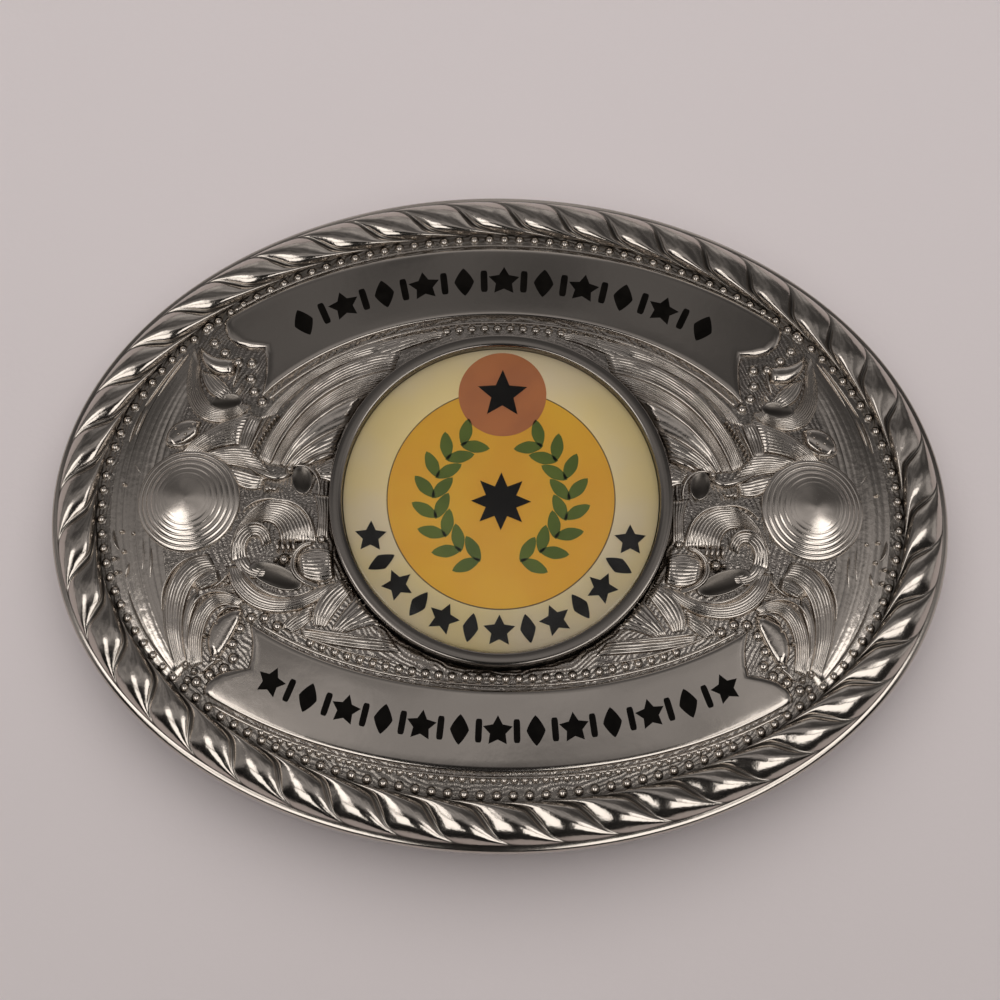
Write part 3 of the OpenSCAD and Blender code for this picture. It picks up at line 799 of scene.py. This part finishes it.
rib = curve([(25.2, 9.7), (26.2, 8.4), (27.0, 6.8), (27.8, 5.0)], np.linspace(0, 1, 11))
rib_shells = beads(rib[:, 0], rib[:, 1], 0.24, 0.95, 8)

# Columns: place, radius, rise.
BUDS = [
    (23.5, 3.3, 0.5, 1.2), (23.7, -6.9, 0.62, 1.0), (22.9, -6.6, 0.34, 0.9), (24.6, -6.9, 0.3, 0.9),
    (34.8, 9.0, 0.26, 0.95), (35.2, 8.4, 0.26, 1.0), (35.6, 7.8, 0.28, 1.0), (36.4, 7.8, 0.26, 1.0),
    (35.9, 7.2, 0.24, 0.95), (36.8, 8.5, 0.22, 0.9), (31.0, -13.8, 0.3, 0.95), (32.2, -15.2, 0.26, 0.9),
    (31.0, -17.8, 0.5, 0.95), (33.2, -19.1, 0.34, 0.6), (34.2, -18.6, 0.3, 0.6), (33.9, -20.0, 0.4, 0.6),
    (40.9, -3.6, 0.3, 0.7), (42.3, -3.3, 0.28, 0.7), (41.9, -5.6, 0.3, 0.7), (42.6, -7.9, 0.3, 0.7),
    (43.0, -6.3, 0.28, 0.7), (16.3, 11.6, 0.3, 0.7), (17.3, 9.9, 0.28, 0.8), (42.4, 2.2, 0.25, 0.7),
    (30.0, -9.5, 0.24, 0.7), (19.6, -4.6, 0.5, 0.6), (26.0, 1.2, 0.4, 0.7)]
bud_shells = [beads([x], [y], radius, rise, 12)[0] for x, y, radius, rise in BUDS]
trim = ridge_shells + rib_shells + bud_shells
print("ridges, ribs and buds on one half:", len(trim))

# %% [markdown]
# A few spots between the scrolls are smooth and lie deep, so they look dark.
# Each is a shallow oval dish in a darker copy of the nickel, with painted shade darkest at its bottom.

# %% Smooth hollows among the scrolls
# Columns: place, half length, half width, turn in degrees.
BOWLS = [(22.1, 2.2, 1.7, 1.15, 80), (31.2, 11.6, 1.9, 1.05, -4), (24.6, -8.7, 3.2, 1.25, 22),
         (26.9, -2.2, 1.2, 0.6, -20), (30.2, 4.6, 0.9, 0.3, 10)]
# Columns: share of the way out, height, painted shade.
BOWL_SECTION = np.array([(0.05, 0.08, 1), (0.3, 0.1, 1), (0.55, 0.16, 1), (0.75, 0.26, 0.95),
                         (0.9, 0.38, 0.7), (0.97, 0.4, 0.3), (1, 0.3, 0.5), (1, -0.4, 1)])


def bowl(cx, cy, long, wide, angle):
    """Shallow oval dish: its height falls to the middle, which gets the most painted shade."""
    share, height, dark = BOWL_SECTION.T
    spin = round_turns(36)
    a = math.radians(angle)
    u, v = np.outer(share, np.cos(spin)) * long, np.outer(share, np.sin(spin)) * wide
    x, y = cx + u * math.cos(a) - v * math.sin(a), cy + u * math.sin(a) + v * math.cos(a)
    return shell(lay(x, y, height[:, None]), dark[:, None])


bowls = [bowl(*row) for row in BOWLS]
piece("dark_bowls", both_halves(bowls), bowl_nickel_painted_shade)
piece("scroll_ridges", both_halves(trim) + ribbon_lines, cast_nickel)

# %% [markdown]
# The cup is turned and polished. Its rim is a rounded band, a little flat on
# top, between the casting and the print. It is one smooth profile, carried
# round the axis.

# %% The cup
def turned(profile, steps=192):
    """Closed shape of a profile of radius and height, carried round Z."""
    profile = np.asarray(profile, float)
    spin = round_turns(steps)
    r, z = profile[:, :1], profile[:, 1:]
    return shell(np.stack([r * np.cos(spin), r * np.sin(spin), z + 0 * spin], -1))


CUP_LOW, CUP_HIGH = (corner.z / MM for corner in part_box("bezel_cup"))
CUP_FLOOR, CUP_ROUND, CAP_RADIUS = 1.0, 0.42, 0.3
DISC_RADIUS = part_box("printed_disc")[1].x / MM
CUP_INSIDE = DISC_RADIUS + 0.12
band = (CUP_RADIUS - CUP_INSIDE) / 2
arc = np.linspace(0, np.pi, 15)
cup_rim = np.column_stack([CUP_RADIUS - band + band * np.cos(arc),
                           CUP_HIGH - CUP_ROUND + CUP_ROUND * np.abs(np.sin(arc)) ** 0.5])
cup_profile = [(CAP_RADIUS, CUP_LOW), (CUP_RADIUS - 0.2, CUP_LOW), (CUP_RADIUS, CUP_LOW + 0.2), *cup_rim,
               (CUP_INSIDE, CUP_LOW + CUP_FLOOR + 0.1), (CUP_INSIDE - 0.1, CUP_LOW + CUP_FLOOR),
               (CAP_RADIUS, CUP_LOW + CUP_FLOOR)]
piece("cup", [turned(cup_profile)], cup_nickel_painted_dark_reflection, "bezel_cup")

# %% [markdown]
# The print is enamel-like ink in flat areas. Each area is a very thin layer of
# its own, so its edge stays sharp at any distance. The ornament is generic:
# two leafy sprigs, stars and lozenges.

# %% Ink colours
def ink(name, first, second, size=6.0, gloss=0.35, shine=0.5):
    """Printed ink whose tone drifts a little between two colours."""
    finish = Finish(name)
    drift = finish.noise(size, 3.0).step(0.3, 0.7)
    speck = finish.noise(0.25, 1.0)
    colour = finish.blend(drift, (*first, 1), (*second, 1))
    return finish.surface(base_color=colour, roughness=gloss + speck * 0.1,
                          normal=finish.bump(speck, 0.004), specular_ior_level=shine)


cream = ink("cream_ink", (0.97, 0.80, 0.42), (0.92, 0.80, 0.60), 14)
amber = ink("amber_ink", (0.80, 0.39, 0.006), (0.84, 0.46, 0.01), 9)
brown = ink("brown_line", (0.12, 0.07, 0.015), (0.16, 0.09, 0.02))
leaf_green = ink("green_ink", (0.075, 0.125, 0.002), (0.11, 0.165, 0.003), 5)
orange = ink("orange_ink", (0.44, 0.14, 0.04), (0.52, 0.17, 0.045), 5)
black = ink("black_ink", (0.003, 0.0025, 0.002), (0.006, 0.005, 0.004), 1.5, 0.5, 0.04)
print("finishes so far:", len(bpy.data.materials))

# %% Shapes of the print
INK = 0.03
PRINT_LOW, PRINT_HIGH = (corner.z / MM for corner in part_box("printed_disc"))
PRINT = PRINT_HIGH - INK * 6
AMBER_RADIUS = 12.45


def star(points, depth, angle=math.pi / 2):
    """Radius by turn of a star: straight edges between tips and notches."""
    wedge = np.pi / points
    tip, notch = np.array([1.0, 0.0]), depth * np.array([math.cos(wedge), math.sin(wedge)])
    span = notch - tip

    def radius(t):
        part = np.abs((t - angle + wedge) % (2 * wedge) - wedge)
        return (tip[0] * span[1] - tip[1] * span[0]) / (np.cos(part) * span[1] - np.sin(part) * span[0])
    return radius


def lozenge(wide, high, power):
    """Radius by turn of a superellipse: power 1 is a diamond, 2 an oval."""
    def radius(t):
        return (np.abs(np.cos(t) / wide) ** power + np.abs(np.sin(t) / high) ** power) ** (-1 / power)
    return radius


def disc(t):
    """Radius by turn of a circle."""
    return np.ones_like(t)


def layer(cx, cy, size, outline, level, turned_by=0.0, on=None, steps=60, rings=1):
    """Thin closed patch: rings out to the outline, on the print or on the face."""
    t = round_turns(steps)
    shares = np.append(np.linspace(0.05, 1, rings + 1), 1.0)
    r = shares[:, None] * outline(t) * size
    x, y = cx + r * np.cos(t + turned_by), cy + r * np.sin(t + turned_by)
    base = on(x, y) if on else np.zeros_like(x)
    top = np.stack([x, y, base + level + INK], -1)
    top[-1, :, 2] -= INK * 1.5
    return shell(top)


ground = [(CAP_RADIUS, PRINT_LOW), (DISC_RADIUS, PRINT_LOW), (DISC_RADIUS, PRINT), (CAP_RADIUS, PRINT)]
brown_ring = layer(0, 0, AMBER_RADIUS + 0.14, disc, PRINT, steps=160)
amber_field = layer(0, 0, AMBER_RADIUS, disc, PRINT + INK, steps=160)
piece("cream_ground", [turned(ground)], cream, "printed_disc")
piece("brown_ring", [brown_ring], brown, smooth=False)
piece("amber_field", [amber_field], amber, smooth=False)

# %% Sprigs, medal and marks of the print
STEM_RADIUS, STEM_START, STEM_END, LEAF_PAIRS = 7.4, -1.25, 0.95, 8
LEAF_LEAN = 0.75
LEAF_SHAPE = lozenge(1.65, 0.72, 1.5)
MEDAL_PLACE, MEDAL_RADIUS = 12.0, 4.9
ARC_RADIUS, ARC_MARKS = 14.9, 13


def sprig(side):
    """Leaves set in pairs along a curved stem."""
    shells = []
    for spot in np.linspace(STEM_START, STEM_END, LEAF_PAIRS):
        cx, cy = side * STEM_RADIUS * math.cos(spot), STEM_RADIUS * math.sin(spot)
        for lean, reach in ((LEAF_LEAN, 1.5), (-LEAF_LEAN, 1.35)):
            heading = math.atan2(math.cos(spot), -side * math.sin(spot)) - side * lean
            shells.append(layer(cx + math.cos(heading) * reach, cy + math.sin(heading) * reach, 1.0,
                                LEAF_SHAPE, PRINT + INK * 2, turned_by=heading, steps=28))
    return shells


piece("green_sprigs", sprig(1) + sprig(-1), leaf_green, smooth=False)
medal = layer(0, MEDAL_PLACE, MEDAL_RADIUS, disc, PRINT + INK * 2, steps=96)
piece("orange_medal", [medal], orange, smooth=False)
marks = [layer(0, MEDAL_PLACE, 2.9, star(5, 0.45), PRINT + INK * 3, steps=60),
         layer(0, -0.4, 3.3, star(8, 0.55), PRINT + INK * 3, steps=64)]
for k, spot in enumerate(np.radians(np.linspace(198, 342, ARC_MARKS))):
    shape, size = (star(5, 0.5), 1.8) if k % 2 == 0 else (lozenge(0.62, 1.2, 1.2), 1.35)
    marks.append(layer(ARC_RADIUS * math.cos(spot), ARC_RADIUS * math.sin(spot), size, shape,
                       PRINT + INK, turned_by=spot + math.pi / 2))
piece("black_marks", marks, black, smooth=False)

# %% [markdown]
# The ribbons carry black filled ornament, cut into the metal on the real
# buckle. Here it is a row of generic stars, lozenges and bars of about the
# same weight, a hair over the polished face.

# %% Ornament of the ribbons
def ribbon_marks(side, inner, outer, height, reach, count):
    """A row of marks along the middle line of a ribbon, each set square to it."""
    def middle(x):
        return side * (oval_line(inner, x) + oval_line(outer, x)) / 2

    big_star, diamond, bar = star(5, 0.53), lozenge(0.34, 0.54, 1.2), lozenge(0.12, 0.42, 6)
    pattern = [(big_star, height * 0.56), (bar, height), (diamond, height), (bar, height)]
    x = np.linspace(-reach, reach, count)
    lean = np.arctan((middle(x + 0.1) - middle(x - 0.1)) / 0.2)
    shells = []
    for k in range(count):
        shape, size = pattern[abs(k - count // 2) % len(pattern)]
        shells.append(layer(x[k], middle(x[k]), size, shape, RIBBON_RISE - 0.01,
                            turned_by=lean[k], on=face, rings=3))
    return shells


ribbon_ink = (ribbon_marks(1, UPPER_INNER, UPPER_OUTER, 3.3, 22.8, 21)
              + ribbon_marks(-1, LOWER_INNER, LOWER_OUTER, 3.0, 24.6, 25))
piece("ribbon_marks", ribbon_ink, black, smooth=False)

# %% [markdown]
# Clear resin is poured over the print and sets as a low dome. Light passes
# straight through so thin a layer, so a see-through shader with a glossy one
# on top, mixed by Fresnel, is close to it and stays quick to render.

# %% The clear dome
DOME_LOW, DOME_HIGH = (corner.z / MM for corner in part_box("resin_dome"))
DOME_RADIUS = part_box("resin_dome")[1].x / MM
DOME_CROWN = 1.02


def clear_resin():
    """See-through on the inside, and with Fresnel's share of gloss on the outside."""
    finish = Finish("clear_resin")
    through = finish.node("ShaderNodeBsdfTransparent", {}, (0.985, 0.98, 0.965, 1))
    lumps = finish.bump(finish.noise(5.0, 2.0), 0.03)
    gloss = finish.node("ShaderNodeBsdfGlossy", {},
                        named={"Color": (1, 1, 1, 1), "Roughness": 0.05, "Normal": lumps})
    edge = finish.node("ShaderNodeFresnel", {}, named={"IOR": 1.5, "Normal": lumps})
    inner_side = finish.node("ShaderNodeNewGeometry", {}, output="Backfacing")
    return finish.shown(finish.node("ShaderNodeMixShader", {}, edge * (1 - inner_side), through, gloss))


# Height is 1 less a power of the radius, raised to a power: flat on top, steep at the rim.
dome_r = DOME_RADIUS * np.sin(np.linspace(1, 0, 40) * np.pi / 2)
dome_z = DOME_HIGH - DOME_CROWN + DOME_CROWN * (1 - (dome_r / DOME_RADIUS) ** 2.6) ** 0.8
dome_top = np.column_stack([dome_r, dome_z])[dome_r > CAP_RADIUS]
dome_profile = [(CAP_RADIUS, DOME_LOW), (DOME_RADIUS, DOME_LOW), *dome_top]
piece("clear_dome", [turned(dome_profile)], clear_resin(), "resin_dome")

# %% [markdown]
# The back shows a plain wire loop and a hook. Both are round bars carried
# along a path with bent corners, and end in a fillet of solder.

# %% Loop and hook
def bent(corners, radius, steps=9):
    """Path through corners, each rounded by a curve of three guides."""
    corners = np.asarray(corners, float)
    path = [corners[0]]
    s = np.linspace(0, 1, steps)[:, None]
    for before, here, after in zip(corners, corners[1:], corners[2:]):
        start = here + (before - here) / np.linalg.norm(before - here) * radius
        end = here + (after - here) / np.linalg.norm(after - here) * radius
        path.extend((1 - s) ** 2 * start + 2 * (1 - s) * s * here + s ** 2 * end)
    path.append(corners[-1])
    return np.array(path)


def swept(path, radius, sides=24):
    """Round section along a path: each section's axes are turned on from the last."""
    way = np.gradient(path, axis=0)
    way /= np.linalg.norm(way, axis=1)[:, None]
    axis = np.cross(way[0], [0.3, 0.5, 0.81])
    axes = []
    for heading in way:
        axis = axis - heading * axis.dot(heading)
        axis = axis / np.linalg.norm(axis)
        axes.append(axis)
    side = np.array(axes)
    other = np.cross(way, side)
    spin = round_turns(sides)[None, :, None]
    size = np.broadcast_to(radius, len(path))[:, None, None]
    return shell(path[:, None] + size * (np.cos(spin) * side[:, None] + np.sin(spin) * other[:, None]))


def solder(x, y, wire, spread=1.1, depth=1.1):
    """Fillet round a foot: a small skirt that flares onto the back."""
    s = np.linspace(0, 1, 8)
    radius = np.concatenate([[CAP_RADIUS], wire + spread * (1 - s) ** 2.2, [CAP_RADIUS]])[:, None]
    down = np.concatenate([[0.0], depth * s, [depth]])[:, None]
    spin = round_turns(32)
    return shell(lay(x + radius * np.cos(spin), y + radius * np.sin(spin), -PLATE_THICK - 0.02 - down))


WIRE_RADIUS, HOOK_RADIUS = 1.5, 2.0
FOOT_GAP = 0.05
loop_low, loop_high = (np.array(corner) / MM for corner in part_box("belt_loop"))
bar_x, foot_x = loop_high[0] - WIRE_RADIUS, loop_low[0] + WIRE_RADIUS
foot_y = loop_high[1] - WIRE_RADIUS
foot_z = face(foot_x, foot_y) - PLATE_THICK - FOOT_GAP
half_loop = [(foot_x, foot_y, foot_z), (foot_x, foot_y, WIRE_RADIUS), (bar_x, foot_y, WIRE_RADIUS)]
loop_corners = [(x, -y, z) for x, y, z in half_loop] + half_loop[::-1]
loop_shells = [swept(bent(loop_corners, 1.9), WIRE_RADIUS),
               solder(foot_x, foot_y, WIRE_RADIUS), solder(foot_x, -foot_y, WIRE_RADIUS)]
piece("wire_loop", loop_shells, wire_steel, "belt_loop")

hook_low, hook_high = (np.array(corner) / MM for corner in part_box("belt_hook"))
post_x, tip_x = hook_low[0] + HOOK_RADIUS, hook_high[0] - HOOK_RADIUS
hook_corners = [(post_x, 0, face(post_x, 0) - PLATE_THICK - FOOT_GAP), (post_x, 0, HOOK_RADIUS),
                (tip_x, 0, HOOK_RADIUS)]
hook_line = bent(hook_corners, 2.2)[:-1]
tip_turn = np.linspace(0, np.pi / 2 * 0.96, 8)
tip_line = [(tip_x + HOOK_RADIUS * math.sin(angle), 0, HOOK_RADIUS) for angle in tip_turn]
hook_size = np.append(np.full(len(hook_line), HOOK_RADIUS), HOOK_RADIUS * np.cos(tip_turn))
hook_shells = [swept(np.vstack([hook_line, tip_line]), hook_size), solder(post_x, 0, HOOK_RADIUS)]
piece("hook", hook_shells, wire_steel, "belt_hook")

# %% [markdown]
# The buckle was photographed from in front, tipped about sixteen degrees, on
# a plain pale surface. The camera stands where the outline, the insert and the
# ribbons' corners all fall on their places in the photograph.

# %% Camera
SENSOR, LENS = 36.0, 65.66
TILTS = ((15.81, "X"), (-0.22, "Y"), (0.86, "Z"))
CROWN_FROM_CAMERA = Vector((0.11, 0.03, -201.07))
camera = bpy.data.objects.new("camera", bpy.data.cameras.new("camera"))
camera.data.sensor_width = SENSOR
camera.data.lens = LENS
camera.data.clip_start = 0.01
turn_x, turn_y, turn_z = (Matrix.Rotation(math.radians(angle), 3, axis) for angle, axis in TILTS)
aim = turn_x @ turn_y @ turn_z
stand = Vector((0, 0, CROWN)) - aim @ CROWN_FROM_CAMERA
camera.matrix_world = Matrix.Translation(stand * MM) @ aim.to_4x4()
bpy.context.scene.collection.objects.link(camera)
bpy.context.scene.camera = camera
print("camera stands at", [round(v, 1) for v in stand], "mm")

# %% [markdown]
# Metal shows its surroundings more than its own colour. Six panels of light
# stand high to the left and right and in front, and only the metal shows them.
# A broad ceiling lights the floor and the print instead, and isn't mirrored.
# The dim room has a dark far side and a dark near side, as in the photograph.
# The floor is a pale sheet with painted shade towards the front. Far out it is
# painted near black, painted shade that nothing sees but the sides of the relief.

# %% Floor and light
FLOOR_REACH = 1.5
floor_finish = Finish("pale_floor")
depth = floor_finish.node("ShaderNodeSeparateXYZ", {}, floor_finish.place, output="Y")
# Painted shade: the floor is darker towards the front, with a little noise.
tone = (depth + floor_finish.noise(60.0, 3.0) * 0.03).step(-0.09, 0.11)
from_middle = floor_finish.node("ShaderNodeVectorMath", {"operation": "LENGTH"},
                                floor_finish.place, output="Value")
pale = floor_finish.blend(tone, (0.79, 0.72, 0.72, 1), (0.93, 0.85, 0.86, 1))
# Painted shade: near black far out, where only the relief's sides mirror it.
floor_colour = floor_finish.blend(from_middle.step(0.115, 0.5), pale, (0.16, 0.148, 0.14, 1))
floor_finish.surface(base_color=floor_colour, roughness=0.6,
                     normal=floor_finish.bump(floor_finish.noise(0.8, 2.0), 0.02))
floor_mesh = bpy.data.meshes.new("floor")
floor_corners = [(x * FLOOR_REACH, y * FLOOR_REACH, 0) for x, y in ((-1, -1), (1, -1), (1, 1), (-1, 1))]
floor_mesh.from_pydata(floor_corners, [], [(0, 1, 2, 3)])
floor_mesh.materials.append(floor_finish.material)
floor = bpy.data.objects.new("floor", floor_mesh)
bpy.context.scene.collection.objects.link(floor)

# Columns: name, left and right side, near and far side, radiance, shown in metal.
PANELS = [
    ("left_high", -1.20, -0.57, -0.52, -0.06, 1.9, True),
    ("left_high_inner", -0.54, -0.44, -0.52, -0.12, 1.7, True),
    ("left_front", -1.30, -0.30, -1.60, -0.60, 2.0, True),
    ("right_high_inner", 0.44, 0.54, -0.52, -0.12, 1.7, True),
    ("right_high", 0.57, 1.20, -0.52, -0.06, 1.9, True),
    ("right_front", 0.20, 1.30, -1.60, -0.60, 2.0, True),
    ("ceiling", -0.8, 0.8, -0.9, 1.3, 1.0, False),
]


def panel(name, left, right, near, far, radiance, in_metal):
    """Soft light one metre up, facing down; its sides are slopes seen from the buckle."""
    light = bpy.data.lights.new(name, "AREA")
    light.shape = "RECTANGLE"
    light.size, light.size_y = right - left, far - near
    light.energy = radiance * math.pi * light.size * light.size_y
    light.color = (1, 0.975, 0.95)
    lamp = bpy.data.objects.new(name, light)
    lamp.location = ((left + right) / 2, (near + far) / 2, 1.0)
    lamp.visible_glossy = in_metal
    lamp.visible_diffuse = not in_metal
    bpy.context.scene.collection.objects.link(lamp)


for row in PANELS:
    panel(*row)
print("panels of light:", len(PANELS))

# %% The dim room
world = bpy.data.worlds.new("room")
world.use_nodes = True
bpy.context.scene.world = world
room = Nodes(world.node_tree)
bearing = room.node("ShaderNodeTexCoord", {}, output="Generated")
far = room.node("ShaderNodeSeparateXYZ", {}, bearing, output="Y")
clutter = room.node("ShaderNodeTexNoise", {"noise_dimensions": "3D"},
                    named={"Vector": bearing, "Scale": 3.2, "Detail": 2.0, "Distortion": 0.4})
dark_wall = far.step(0.08, 0.42) * (1 - far.step(0.72, 0.97))
near_wall = (far * -1.0).step(0.12, 0.36)
walls = 0.34 - dark_wall * 0.22 - near_wall * 0.325
level = walls * (0.55 + clutter.step(0.35, 0.65) * 0.9) + far.step(0.8, 1.0) * 0.12
glow = room.node("ShaderNodeBackground", {}, named={"Color": (1.0, 0.965, 0.955, 1), "Strength": level})
room.node("ShaderNodeOutputWorld", {}, named={"Surface": glow})
bpy.context.scene.view_settings.view_transform = "Standard"
print("nodes of the room:", len(room.nodes))
